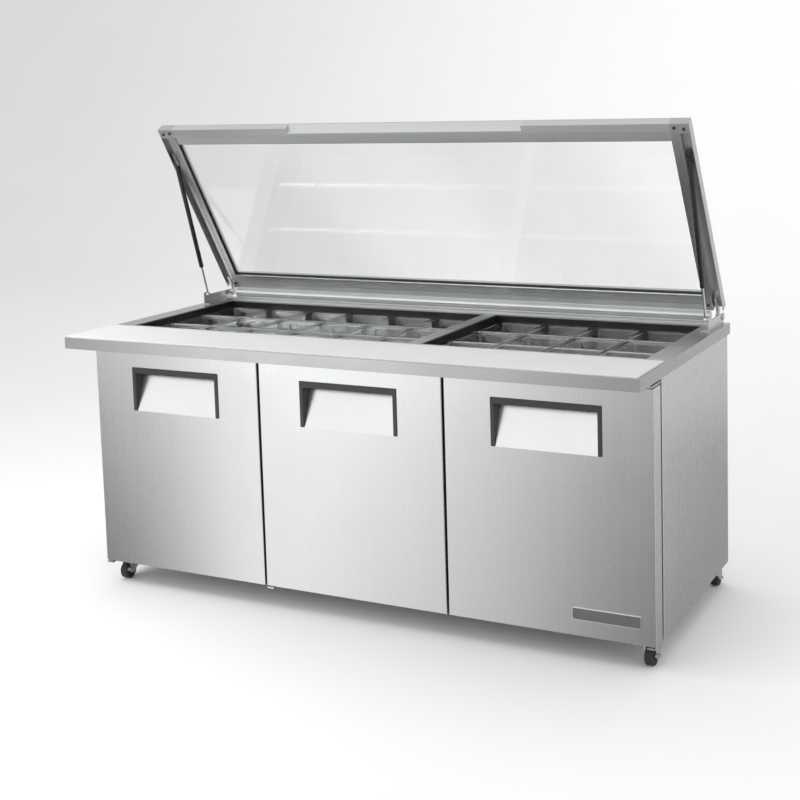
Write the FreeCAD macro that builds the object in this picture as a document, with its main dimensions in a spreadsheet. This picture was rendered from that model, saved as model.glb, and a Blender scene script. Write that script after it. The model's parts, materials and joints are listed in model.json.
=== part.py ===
import FreeCAD, Part
import os
import re

import Sketcher
from FreeCAD import Vector

# Refrigerated sandwich prep table: a three-door cabinet on low casters, a steel worktop with two pan
# openings and a cutting board along the front, and a framed glass lid held open by two gas struts.
# Frame: origin on the floor under the middle of the worktop, +X to the right of a person working at
# the board, +Y to the back, +Z up, millimetres. The doors are shut and the lid is open.

DIMENSIONS = {
    # Worktop and cutting board
    "skin_thick": 1.0,
    "top_width": 1845.0,
    "top_depth": 867.0,
    "work_height": 820.0,
    "apron_height": 33.5,
    "edge_round": 2.0,
    "board_side_gap": 6.0,
    "board_front_gap": 2.5,
    "board_depth": 219.0,
    "board_thick": 13.0,
    "board_sink": 8.0,
    "board_play": 0.5,
    # Pan openings and what hangs in them
    "open_front": -178.5,
    "open_depth": 536.0,
    "left_open_start": -857.0,
    "left_open_width": 991.0,
    "right_open_start": 177.0,
    "right_open_width": 680.0,
    "well_wall": 2.0,
    "well_lip": 3.0,
    "well_bottom": 680.0,
    "well_ledge": 8.0,
    "ledge_thick": 3.0,
    "rim_drop": 22.0,
    "bar_width": 16.0,
    "bar_height": 8.0,
    "pan_pitch_wide": 163.0,
    "pan_pitch_deep": 176.0,
    "pan_gap": 1.0,
    "pan_rim": 10.0,
    "pan_rim_thick": 3.0,
    "pan_depth": 100.0,
    "pan_wall": 3.0,
    "pan_draft": 4.0,
    # Cabinet
    "body_half": 916.0,
    "side_thick": 45.0,
    "cabinet_front": -232.5,
    "cabinet_back": 426.5,
    "cabinet_bottom": 72.0,
    "floor_thick": 45.0,
    "back_thick": 35.0,
    "header_bottom": 730.0,
    "rail_depth": 40.0,
    "mullion_width": 50.0,
    "bay_half": 300.0,
    "bay_front": 225.0,
    "bay_top": 395.0,
    "grille_thick": 2.0,
    "grille_half": 285.0,
    "grille_low": 124.0,
    "grille_high": 388.0,
    "slot_length": 220.0,
    "slot_height": 10.0,
    "slot_pitch": 25.0,
    # Shelves
    "shelf_height": 400.0,
    "shelf_middle": -5.0,
    "shelf_depth": 350.0,
    "shelf_half": 274.0,
    "shelf_margin": 10.0,
    "shelf_runner": 3.5,
    "shelf_wire": 2.5,
    "strip_thick": 6.0,
    "strip_half": 8.0,
    "strip_low": 150.0,
    "strip_high": 425.0,
    "strip_front": -130.0,
    "strip_rear": 120.0,
    # Refrigeration
    "housing_half": 280.0,
    "housing_front": 262.0,
    "housing_low": 440.0,
    "housing_high": 640.0,
    "housing_wall": 2.0,
    "fan_opening": 85.0,
    "outlet_middle": 190.0,
    "outlet_half": 60.0,
    "outlet_height": 8.0,
    "outlet_pitch": 24.0,
    "outlet_margin": 40.0,
    "fins_half": 230.0,
    "fins_front": 325.0,
    "fins_back": 385.0,
    "fins_margin": 15.0,
    "inner_fan_back": 290.0,
    "inner_fan_radius": 78.0,
    "inner_fan_hub": 22.0,
    "inner_fan_depth": 26.0,
    "can_side": -185.0,
    "can_back": 325.0,
    "can_radius": 78.0,
    "can_height": 175.0,
    "can_foot": 95.0,
    "can_foot_thick": 6.0,
    "can_wall": 16.0,
    "condenser_side": 150.0,
    "condenser_half": 105.0,
    "condenser_front": 300.0,
    "condenser_back": 345.0,
    "condenser_low": 135.0,
    "condenser_high": 365.0,
    "tube_size": 5.0,
    "tube_reach": 12.0,
    "tube_pitch": 30.0,
    "tube_inset": 12.0,
    "fin_thick": 1.5,
    "fin_pitch": 12.0,
    "outer_fan_back": 375.0,
    "outer_fan_radius": 88.0,
    "outer_fan_hub": 24.0,
    "outer_fan_depth": 24.0,
    # Doors
    "door_front": -302.5,
    "door_thick": 57.0,
    "door_bottom": 74.0,
    "door_top": 768.0,
    "door_gap": 7.0,
    "door_round": 2.5,
    "gasket_inset": 14.0,
    "gasket_width": 14.0,
    "gasket_thick": 12.5,
    "liner_thick": 10.0,
    "door_pivot_inset": 14.0,
    "door_pivot_depth": 8.0,
    "pin_radius": 4.0,
    "pin_fit": 0.05,
    "pin_hole": 22.0,
    "pin_length": 20.0,
    "hinge_half": 11.0,
    "hinge_thick": 4.5,
    "hinge_lead": 10.0,
    "hinge_gap": 1.5,
    "hinge_tab": 3.5,
    "hinge_tab_high": 86.0,
    "grip_half": 161.0,
    "grip_top": 712.5,
    "grip_bottom": 575.0,
    "grip_band": 19.0,
    "grip_side": 12.0,
    "grip_depth": 40.0,
    "grip_proud": 2.5,
    "grip_lip": 10.0,
    "cheek_thick": 4.0,
    "plate_left": 69.0,
    "plate_right": 263.0,
    "plate_low": 119.0,
    "plate_high": 154.0,
    "plate_thick": 3.0,
    "plate_rim": 2.5,
    "plate_web": 0.8,
    # Lid and its hinge
    "lid_angle": 58.3,
    "pivot_back": 412.0,
    "pivot_height": 842.0,
    "pivot_behind": 18.2,
    "pivot_below": 4.1,
    "lid_length": 678.6,
    "lid_half": 910.0,
    "lid_thick": 30.0,
    "side_rail": 57.0,
    "rear_rail": 57.0,
    "front_rail": 59.6,
    "channel_width": 27.5,
    "channel_depth": 20.0,
    "flange_thick": 2.5,
    "channel_stop": 33.0,
    "glass_thick": 6.0,
    "glass_low": 14.0,
    "seal_width": 4.0,
    "cover_radius": 16.0,
    "cover_half": 868.0,
    "cover_foot": 9.0,
    "hinge_rail_front": 378.0,
    "hinge_rail_back": 430.0,
    "rib_groove": 1.6,
    "rear_band": 24.0,
    "rear_line": 3.0,
    "front_step": 30.0,
    "front_step_deep": 3.0,
    "scoop_half": 405.5,
    "scoop_run": 19.0,
    "scoop_rise": 26.0,
    "arm_inner": 886.0,
    "arm_outer": 894.0,
    "arm_reach": 46.0,
    "screw_radius": 4.5,
    "screw_head": 2.5,
    "rail_screw_side": 866.0,
    "corner_screw_side": 893.0,
    "bracket_inner": 902.5,
    "bracket_thick": 3.0,
    "bracket_back": 424.0,
    "bracket_step": 852.0,
    "bracket_high": 861.0,
    "bracket_lead": 11.0,
    "bracket_foot": 20.5,
    "boss_radius": 11.0,
    # Gas struts
    "strut_side": 893.5,
    "ball_back": 266.5,
    "ball_height": 854.0,
    "mount_along": 570.0,
    "mount_up": 8.0,
    "rod_radius": 3.5,
    "rod_shown": 105.0,
    "rod_hidden": 95.0,
    "tube_radius": 7.5,
    "tube_bore": 6.0,
    "piston_thick": 8.0,
    "eye_radius": 6.5,
    "eye_half": 4.5,
    "stud_radius": 2.5,
    "stud_reach": 5.5,
    "strut_plate": 3.5,
    # Casters
    "caster_side": 883.0,
    "caster_front": -206.0,
    "caster_back": 366.0,
    "caster_trail": 36.0,
    "wheel_radius": 26.0,
    "wheel_width": 26.0,
    "fork_thick": 3.0,
    "caster_plate": 26.0,
    "caster_plate_thick": 4.0,
    "fork_top": 59.5,
    "fork_under": 55.0,
    "fork_play": 1.5,
    "race_radius": 15.0,
    "race_gap": 0.4,
    "king_radius": 5.0,
    "king_low": 51.0,
    "rivet_radius": 7.5,
    "axle_end": 2.0,
    "lever_gap": 0.4,
    "lever_thick": 3.0,
    "pedal_reach": 15.0,
}

# Named results of the driving dimensions, kept as formulas.
DERIVED = {
    "half_width": "top_width / 2",
    "half_depth": "top_depth / 2",
    "top_under": "work_height - apron_height",
    "board_bottom": "work_height - board_sink",
    "board_back": "-half_depth + board_front_gap + board_depth",
    "open_back": "open_front + open_depth",
    "rim_top": "work_height - rim_drop",
    "rim_under": "rim_top - pan_rim_thick",
    "inner_half": "body_half - side_thick",
    "floor_top": "cabinet_bottom + floor_thick",
    "wall_back": "cabinet_back - back_thick",
    "door_back": "door_front + door_thick",
    "door_width": "(2 * body_half - 2 * door_gap) / 3",
    "door_half": "door_width / 2",
    "door_step": "door_width + door_gap",
    "door_pivot_y": "door_front + door_pivot_depth",
    "rail_back": "cabinet_front + rail_depth",
    "hump_front": "bay_front - back_thick",
    "cover_low": "pivot_height - cover_radius",
    "bracket_outer": "bracket_inner + bracket_thick",
    "fork_gap": "wheel_width / 2 + fork_play",
    "fork_reach": "fork_gap + fork_thick",
    "lever_near": "fork_reach + lever_gap",
    "lid_base_y": "pivot_back - pivot_behind * cos(lid_angle) + pivot_below * sin(lid_angle)",
    "lid_base_z": "pivot_height + pivot_behind * sin(lid_angle) + pivot_below * cos(lid_angle)",
    "mount_y": "lid_base_y - mount_along * cos(lid_angle) + mount_up * sin(lid_angle)",
    "mount_z": "lid_base_z + mount_along * sin(lid_angle) + mount_up * cos(lid_angle)",
    "strut_run": "ball_back - mount_y",
    "strut_rise": "mount_z - ball_height",
    "strut_length": "sqrt(strut_run * strut_run + strut_rise * strut_rise)",
    "strut_tilt": "atan(strut_run / strut_rise)",
    "glass_half": "lid_half - side_rail",
    "channel_half": "lid_half - flange_thick",
    "channel_inner": "channel_half - channel_width",
}

WORD = re.compile(r"[a-z]+(?:_[a-z]+)+")

doc = FreeCAD.newDocument("sandwich_prep_table")
sheet = doc.addObject("Spreadsheet::Sheet", "Dims")
parts = {}


def fill_sheet():
    for row, (alias, number) in enumerate(DIMENSIONS.items(), start=1):
        sheet.set(f"A{row}", alias)
        sheet.set(f"B{row}", str(number))
        sheet.setAlias(f"B{row}", alias)
    doc.recompute()


def formula(text):
    """Spell out derived names and point the driving ones at the sheet."""

    def spell(match):
        word = match.group(0)
        if word in DERIVED:
            return f"({formula(DERIVED[word])})"
        return f"Dims.{word}" if word in DIMENSIONS else word

    return WORD.sub(spell, str(text))


def amount(text):
    """The number that a formula gives."""
    result = sheet.evalExpression(formula(text))
    return float(getattr(result, "Value", result))


def keep(name, thing):
    """Name a sub-part: its label is its file's name."""
    thing.Label = name
    parts[name] = thing
    return thing


def place(thing, x="0", y="0", z="0", axis="1;0;0", angle="0"):
    spot = f"vector({formula(x)}; {formula(y)}; {formula(z)})"
    turn = f"rotation(vector({axis}); {formula(angle)})"
    thing.setExpression("Placement", f"placement({spot}; {turn})")
    return thing


# ---------------------------------------------------------------- Part primitives and booleans

def box(x, y, z):
    """A block given by its low and high face on each axis."""
    block = doc.addObject("Part::Box", "block")
    for side, (low, high) in zip(("Length", "Width", "Height"), (x, y, z)):
        block.setExpression(side, formula(f"({high}) - ({low})"))
    return place(block, x[0], y[0], z[0])


TURNS = {"X": ("0;1;0", "90"), "Y": ("1;0;0", "-90"), "Z": ("0;0;1", "0")}


def rod(radius, length, x, y, z, along="Z"):
    """A round bar that starts at a point and runs along an axis."""
    bar = doc.addObject("Part::Cylinder", "bar")
    bar.setExpression("Radius", formula(radius))
    bar.setExpression("Height", formula(length))
    axis, angle = TURNS[along]
    return place(bar, x, y, z, axis, angle)


def fuse(*pieces):
    joined = doc.addObject("Part::MultiFuse", "joined")
    joined.Shapes = list(pieces)
    joined.Refine = True
    return joined


def cut(base, *tools):
    rest = doc.addObject("Part::Cut", "rest")
    rest.Base = base
    rest.Tool = tools[0] if len(tools) == 1 else fuse(*tools)
    rest.Refine = True
    return rest


def group(*pieces):
    """Separate solids that share one node."""
    together = doc.addObject("Part::Compound", "together")
    together.Links = list(pieces)
    return together


def copies(master, spots):
    """Separate copies of a finished piece, moved to each spot."""
    doc.recompute()
    shapes = [master.Shape.translated(Vector(*spot)) for spot in spots]
    together = doc.addObject("Part::Feature", "copies")
    together.Shape = Part.makeCompound(shapes)
    return together


# ---------------------------------------------------------------- PartDesign bodies

PLANES = {"XY": ("XY_Plane", 1), "XZ": ("XZ_Plane", -1), "YZ": ("YZ_Plane", 1)}


def new_body():
    return doc.addObject("PartDesign::Body", "body")


def sketch(body, plane, loops, offset="0"):
    """A fully constrained sketch of polygons (lists of points) and circles (x, y, radius)."""
    role, _ = PLANES[plane]
    origin_plane = next(item for item in body.Origin.OriginFeatures if item.Role == role)
    drawing = body.newObject("Sketcher::SketchObject", "outline")
    drawing.AttachmentSupport = [(origin_plane, "")]
    drawing.MapMode = "FlatFace"
    drawing.setExpression("AttachmentOffset.Base.z", formula(offset))
    for loop in loops:
        if isinstance(loop, tuple):
            draw_circle(drawing, *loop)
        else:
            draw_polygon(drawing, loop)
    return drawing


def bound(drawing, kind, geometry, point, text):
    number = amount(text)
    place_in_list = drawing.addConstraint(Sketcher.Constraint(kind, -1, 1, geometry, point, number))
    drawing.setExpression(f"Constraints[{place_in_list}]", formula(text))


def draw_circle(drawing, x, y, radius):
    centre = Vector(amount(x), amount(y), 0)
    circle = drawing.addGeometry(Part.Circle(centre, Vector(0, 0, 1), amount(radius)))
    bound(drawing, "DistanceX", circle, 3, x)
    bound(drawing, "DistanceY", circle, 3, y)
    size = drawing.addConstraint(Sketcher.Constraint("Radius", circle, amount(radius)))
    drawing.setExpression(f"Constraints[{size}]", formula(radius))


def draw_polygon(drawing, points):
    corners = [Vector(amount(x), amount(y), 0) for x, y in points]
    first = drawing.GeometryCount
    count = len(points)
    for index, corner in enumerate(corners):
        drawing.addGeometry(Part.LineSegment(corner, corners[(index + 1) % count]))
    for index, (x, y) in enumerate(points):
        following = first + (index + 1) % count
        drawing.addConstraint(Sketcher.Constraint("Coincident", first + index, 2, following, 1))
        bound(drawing, "DistanceX", first + index, 1, x)
        bound(drawing, "DistanceY", first + index, 1, y)


def pad(body, plane, loops, low, high):
    """Add material between two levels of the plane's own axis."""
    offset = low if PLANES[plane][1] > 0 else f"-({high})"
    feature = body.newObject("PartDesign::Pad", "pad")
    feature.Profile = sketch(body, plane, loops, offset)
    feature.setExpression("Length", formula(f"({high}) - ({low})"))
    return feature


def pocket(body, plane, loops, low, high):
    """Take material away between two levels of the plane's own axis."""
    doc.recompute()
    before = body.Shape.Volume
    offset = high if PLANES[plane][1] > 0 else f"-({low})"
    feature = body.newObject("PartDesign::Pocket", "pocket")
    feature.Profile = sketch(body, plane, loops, offset)
    feature.setExpression("Length", formula(f"({high}) - ({low})"))
    doc.recompute()
    if not body.Shape.Volume < before:
        raise RuntimeError("a pocket cut nothing")
    return feature


def revolve(body, plane, loops, axis):
    feature = body.newObject("PartDesign::Revolution", "turned")
    drawing = sketch(body, plane, loops)
    feature.Profile = drawing
    feature.ReferenceAxis = (drawing, [axis])
    feature.Angle = 360.0
    return feature


def soften(body, radius, wanted, kind="Fillet"):
    """Round or bevel the straight edges whose direction and middle pass a test."""
    doc.recompute()
    tip = body.Tip
    names = []
    for number, edge in enumerate(tip.Shape.Edges, start=1):
        if not isinstance(edge.Curve, Part.Line):
            continue
        direction = edge.Curve.Direction
        middle = edge.CenterOfMass
        if wanted(direction, middle):
            names.append(f"Edge{number}")
    if not names:
        raise RuntimeError("no edge to soften")
    feature = body.newObject(f"PartDesign::{kind}", "soft")
    feature.Base = (tip, names)
    size = "Radius" if kind == "Fillet" else "Size"
    feature.setExpression(size, formula(radius))
    body.Tip = feature
    return feature


def minus(text):
    return f"-({text})"


def mirrored_pair(text):
    return (minus(text), text)


def span(first, second):
    """Two levels in rising order."""
    return sorted((str(first), str(second)), key=amount)


def around(middle, half):
    return (f"{middle} - ({half})", f"{middle} + ({half})")


def inset(ends, by):
    return (f"{ends[0]} + ({by})", f"{ends[1]} - ({by})")


def rectangle(x_low, x_high, y_low, y_high):
    return [(x_low, y_low), (x_high, y_low), (x_high, y_high), (x_low, y_high)]


def solid(plane, loops, low, high):
    """A body made by one pad."""
    body = new_body()
    pad(body, plane, loops, low, high)
    return body


# ---------------------------------------------------------------- Cabinet
# Insulated panels are closed skins; the foam inside them is left as a sealed space.

def panel_box(x, y, z):
    """A closed, skinned block."""
    inside = box(inset(x, "skin_thick"), inset(y, "skin_thick"), inset(z, "skin_thick"))
    return cut(box(x, y, z), inside)


def back_wall_block(by):
    """The rear wall with its hump over the machine bay, every face moved in by an amount."""
    across, depth = mirrored_pair("inner_half"), ("wall_back", "cabinet_back")
    height = ("floor_top", "top_under")
    hump = (mirrored_pair("bay_half + back_thick"), ("hump_front", "cabinet_back"),
            ("floor_top", "bay_top + back_thick"))
    block = fuse(box(inset(across, by), inset(depth, by), inset(height, by)),
                 box(*[inset(ends, by) for ends in hump]))
    bay = box((f"-bay_half - {by}", f"bay_half + {by}"), (f"bay_front - {by}", "cabinet_back + 1"),
              ("floor_top - 1", f"bay_top + {by}"))
    return cut(block, bay)


def cabinet():
    deep = ("cabinet_front", "cabinet_back")
    for name, sign in (("side_wall_left", -1), ("side_wall_right", 1)):
        ends = span(f"{sign} * inner_half", f"{sign} * body_half")
        wall = solid("XY", [rectangle(*ends, *deep)], "cabinet_bottom", "top_under")
        outer = sign * amount("body_half")
        soften(wall, "edge_round", lambda d, m, x=outer: abs(d.z) > 0.9 and abs(m.x - x) < 0.1)
        space = rectangle(*inset(ends, "skin_thick"), *inset(deep, "skin_thick"))
        pocket(wall, "XY", [space], *inset(("cabinet_bottom", "top_under"), "skin_thick"))
        keep(name, wall)

    across = mirrored_pair("inner_half")
    keep("cabinet_floor", panel_box(across, deep, ("cabinet_bottom", "floor_top")))
    keep("back_wall", cut(back_wall_block("0"), back_wall_block("skin_thick")))

    rail = ("cabinet_front", "rail_back")
    frame = [panel_box(across, rail, ("header_bottom", "top_under"))]
    for side in (-1, 1):
        ends = around(f"{side} * door_step / 2", "mullion_width / 2")
        frame.append(panel_box(ends, rail, ("floor_top", "header_bottom")))
    keep("front_frame", group(*frame))


# Each opening: where it starts, how wide it is, and how many pans sit side by side.
OPENINGS = {
    "left": ("left_open_start", "left_open_width", 6),
    "right": ("right_open_start", "right_open_width", 4),
}
PAN_ROWS = 3


def worktop():
    top = new_body()
    wide, deep = mirrored_pair("half_width"), mirrored_pair("half_depth")
    pad(top, "XY", [rectangle(*wide, *deep)], "top_under", "work_height")
    soften(top, "edge_round", lambda d, m: abs(d.z) > 0.9)
    long = ("open_front", "open_back")
    framing = []
    for start, width, _ in OPENINGS.values():
        short = (start, f"{start} + {width}")
        pocket(top, "XY", [rectangle(*short, *long)], "top_under - 1", "work_height + 1")
        framing.append(rectangle(*inset(short, "-skin_thick"), *inset(long, "-skin_thick")))
    tray = "half_width - board_side_gap"
    lip = "-half_depth + board_front_gap"
    pocket(top, "XY", [rectangle(*mirrored_pair(tray), lip, "board_back")],
           "board_bottom", "work_height + 1")
    for front, low, high in (("-half_depth", "top_under", "board_bottom"),
                             ("board_back", "board_bottom - 2 * skin_thick", "work_height")):
        space = rectangle(*inset(wide, "skin_thick"), *inset((front, "half_depth"), "skin_thick"))
        pocket(top, "XY", [space] + framing, *inset((low, high), "skin_thick"))
    keep("worktop", top)

    board = new_body()
    outline = rectangle(*inset(mirrored_pair(tray), "board_play"), *inset((lip, "board_back"), "board_play"))
    pad(board, "XY", [outline], "board_bottom", "board_bottom + board_thick")
    soften(board, "edge_round + 1", lambda d, m: abs(d.z) > 0.9)
    top_level = amount("board_bottom + board_thick")
    soften(board, "edge_round", lambda d, m: abs(d.z) < 0.1 and abs(m.z - top_level) < 0.1)
    keep("cutting_board", board)


def pan_wells():
    wells = []
    for start, width, _ in OPENINGS.values():
        end = f"{start} + {width}"
        shell = box((start, end), ("open_front", "open_back"), ("well_bottom", "work_height - well_lip"))
        inside = (f"{start} + well_wall", f"{end} - well_wall")
        upper = box(inside, ("open_front + well_wall", "open_back - well_wall"),
                    ("rim_under", "work_height"))
        ledge = box(inside, inset(("open_front", "open_back"), "well_wall + well_ledge"),
                    ("rim_under - ledge_thick", "rim_under"))
        lower = box(inside, inset(("open_front", "open_back"), "well_wall"),
                    ("well_bottom - 1", "rim_under - ledge_thick"))
        wells.append(cut(shell, upper, ledge, lower))
    keep("pan_wells", group(*wells))

    bars = []
    for start, width, _ in OPENINGS.values():
        reach = (f"{start} + well_wall", f"{start} + {width} - well_wall")
        for row in range(1, PAN_ROWS):
            middle = f"(open_front + open_back) / 2 + {row - PAN_ROWS / 2} * pan_pitch_deep"
            bars.append(box(reach, around(middle, "bar_width / 2"), ("rim_under - bar_height", "rim_under")))
    keep("pan_bars", group(*bars))


def pan():
    """One sixth-size pan about its own middle, rim down to the base."""
    tray = new_body()
    half_wide = "(pan_pitch_wide - pan_gap) / 2"
    half_deep = "(pan_pitch_deep - pan_gap) / 2"
    pad(tray, "XY", [rectangle(minus(half_wide), half_wide, minus(half_deep), half_deep)],
        "rim_under", "rim_top")
    soften(tray, "pan_rim / 2", lambda d, m: abs(d.z) > 0.9)

    wide, deep = f"{half_wide} - pan_rim", f"{half_deep} - pan_rim"
    body_loft(tray, "PartDesign::AdditiveLoft", wide, deep, "rim_under", "rim_top - pan_depth")
    wide, deep = f"{wide} - pan_wall", f"{deep} - pan_wall"
    doc.recompute()
    before = tray.Shape.Volume
    body_loft(tray, "PartDesign::SubtractiveLoft", wide, deep, "rim_top + 0.01",
              "rim_top - pan_depth + pan_wall")
    doc.recompute()
    if not tray.Shape.Volume < before:
        raise RuntimeError("the pan is not hollow")
    return tray


def body_loft(body, kind, wide, deep, top, bottom):
    """A tapering rectangle between two levels."""
    draw_in = f"(({top}) - ({bottom})) * tan(pan_draft)"
    drawings = []
    for level, shrink in ((top, "0"), (bottom, draw_in)):
        x, y = f"{wide} - {shrink}", f"{deep} - {shrink}"
        drawings.append(sketch(body, "XY", [rectangle(minus(x), x, minus(y), y)], level))
    feature = body.newObject(kind, "taper")
    feature.Profile = drawings[0]
    feature.Sections = drawings[1:]
    feature.Ruled = True
    body.Tip = feature
    return feature


def pans():
    master = pan()
    middle = amount("(open_front + open_back) / 2")
    for side, (start, width, columns) in OPENINGS.items():
        centre = amount(f"{start} + {width} / 2")
        spots = []
        for row in range(PAN_ROWS):
            y = middle + (row - (PAN_ROWS - 1) / 2) * amount("pan_pitch_deep")
            for column in range(columns):
                x = centre + (column - (columns - 1) / 2) * amount("pan_pitch_wide")
                spots.append((x, y, 0))
        keep(f"pans_{side}", copies(master, spots))


# ---------------------------------------------------------------- Inside the cabinet

SHELF_WIRES = 14
FAN_BLADES = 4
BLADE_PITCH = 32
GRILLE_ROWS = 9


def shelves():
    pieces = []
    for row in (-1, 0, 1):
        y = f"{row} * (shelf_depth / 2 - shelf_runner)"
        pieces.append(rod("shelf_runner", "2 * shelf_half", "-shelf_half", y, 0, "X"))
    for index in range(SHELF_WIRES):
        share = 2 * index / (SHELF_WIRES - 1) - 1
        x = f"{share} * (shelf_half - shelf_margin)"
        level = "shelf_runner + shelf_wire - 1"
        pieces.append(rod("shelf_wire", "shelf_depth", x, "-shelf_depth / 2", level, "Y"))
    master = fuse(*pieces)
    outer = amount("(inner_half - strip_thick + door_step / 2) / 2")
    y, z = amount("shelf_middle"), amount("shelf_height")
    keep("wire_shelves", copies(master, [(x, y, z) for x in (-outer, 0, outer)]))

    strips = []
    height = ("strip_low", "strip_high")
    for side in (-1, 1):
        wall = span(f"{side} * inner_half", f"{side} * (inner_half - strip_thick)")
        for y in ("strip_front", "strip_rear"):
            strips.append(box(wall, around(y, "strip_half"), height))
        across = around(f"{side} * door_step / 2", "strip_half")
        strips.append(box(across, ("rail_back", "rail_back + strip_thick"), height))
        strips.append(box(across, ("hump_front - strip_thick", "hump_front"), height))
    keep("shelf_standards", group(*strips))


def fan(radius, hub, depth):
    """Hub and pitched blades about +Y, centred on the origin."""
    pieces = [rod(hub, depth, 0, f"-({depth}) / 2", 0, "Y")]
    overlap, thick = 4, 2
    chord = 0.62 * amount(radius)
    root = amount(hub) - overlap
    for index in range(FAN_BLADES):
        blade = doc.addObject("Part::Box", "blade")
        blade.Length, blade.Width, blade.Height = amount(radius) - root, thick, chord
        pitch = FreeCAD.Rotation(Vector(1, 0, 0), BLADE_PITCH)
        turn = FreeCAD.Rotation(Vector(0, 1, 0), index * 360 / FAN_BLADES)
        corner = pitch.multVec(Vector(root, -thick / 2, -chord / 2))
        blade.Placement = FreeCAD.Placement(turn.multVec(corner), turn.multiply(pitch))
        pieces.append(blade)
    return fuse(*pieces)


def levels(low, high, pitch):
    """Evenly pitched levels from one up to another."""
    start, stop, step = amount(low), amount(high), amount(pitch)
    return [start + index * step for index in range(int((stop - start) / step) + 1)]


def finned_coil(x, y, z):
    """Upright fins threaded on two rows of tubes that run along X."""
    fins = [box((at, f"{at} + fin_thick"), y, z) for at in levels(x[0], f"{x[1]} - fin_thick", "fin_pitch")]
    tubes = []
    for row in inset(y, "tube_inset"):
        for height in levels(f"{z[0]} + 20", f"{z[1]} - 20", "tube_pitch"):
            tubes.append(rod("tube_size", f"{x[1]} - ({x[0]}) + 2 * tube_reach", f"{x[0]} - tube_reach",
                             row, height, "X"))
    return fuse(*fins, *tubes)


def evaporator():
    back = "wall_back"
    shell = box(mirrored_pair("housing_half"), ("housing_front", back), ("housing_low", "housing_high"))
    room = box(inset(mirrored_pair("housing_half"), "housing_wall"),
               ("housing_front + housing_wall", f"{back} + 1"),
               inset(("housing_low", "housing_high"), "housing_wall"))
    middle = "(housing_low + housing_high) / 2"
    fan_hole = rod("fan_opening", "housing_wall + 4", 0, "housing_front - 2", middle, "Y")
    outlets = []
    face = inset(("housing_front", "housing_front + housing_wall"), "-1")
    for side in (-1, 1):
        for z in levels("housing_low + outlet_margin", "housing_high - outlet_margin", "outlet_pitch"):
            outlets.append(box(around(f"{side} * outlet_middle", "outlet_half"), face,
                               (z, f"{z} + outlet_height")))
    keep("evaporator_housing", cut(shell, room, fan_hole, *outlets))
    keep("evaporator_coil", finned_coil(mirrored_pair("fins_half"), ("fins_front", "fins_back"),
                                        inset(("housing_low", "housing_high"), "fins_margin")))
    blades = fan("inner_fan_radius", "inner_fan_hub", "inner_fan_depth")
    keep("evaporator_fan", place(blades, 0, "inner_fan_back", middle))


def compressor():
    can = new_body()
    profile = [("0", "0"), ("can_foot", "0"), ("can_foot", "can_foot_thick"),
               ("can_radius", "can_foot_thick + 6"), ("can_radius", "can_height - 40"),
               ("can_radius - 10", "can_height - 18"), ("can_radius - 30", "can_height - 4"),
               ("0", "can_height")]
    revolve(can, "XZ", [profile], "V_Axis")
    place(can, "can_side", "can_back", "floor_top")
    room = rod("can_radius - can_wall", "can_height - 2 * can_wall", "can_side", "can_back",
               "floor_top + can_wall")
    keep("compressor", cut(can, room))


def condenser():
    coil = finned_coil(around("condenser_side", "condenser_half"), ("condenser_front", "condenser_back"),
                       ("condenser_low", "condenser_high"))
    keep("condenser_coil", coil)
    blades = fan("outer_fan_radius", "outer_fan_hub", "outer_fan_depth")
    middle = "(condenser_low + condenser_high) / 2"
    keep("condenser_fan", place(blades, "condenser_side", "outer_fan_back", middle))


def rear_grille():
    vent = new_body()
    sheet_thick = ("cabinet_back - grille_thick", "cabinet_back")
    pad(vent, "XZ", [rectangle(*mirrored_pair("grille_half"), "grille_low", "grille_high")], *sheet_thick)
    slots = []
    for row in range(GRILLE_ROWS):
        z = f"grille_low + {row + 1} * slot_pitch"
        for side in (-1, 1):
            across = around(f"{side} * (slot_length / 2 + 20)", "slot_length / 2")
            slots.append(rectangle(*across, z, f"{z} + slot_height"))
    pocket(vent, "XZ", slots, *inset(sheet_thick, "-1"))
    keep("rear_grille", vent)


# ---------------------------------------------------------------- Doors

DOORS = {"left": (-1, -1), "middle": (0, -1), "right": (1, 1)}


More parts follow.
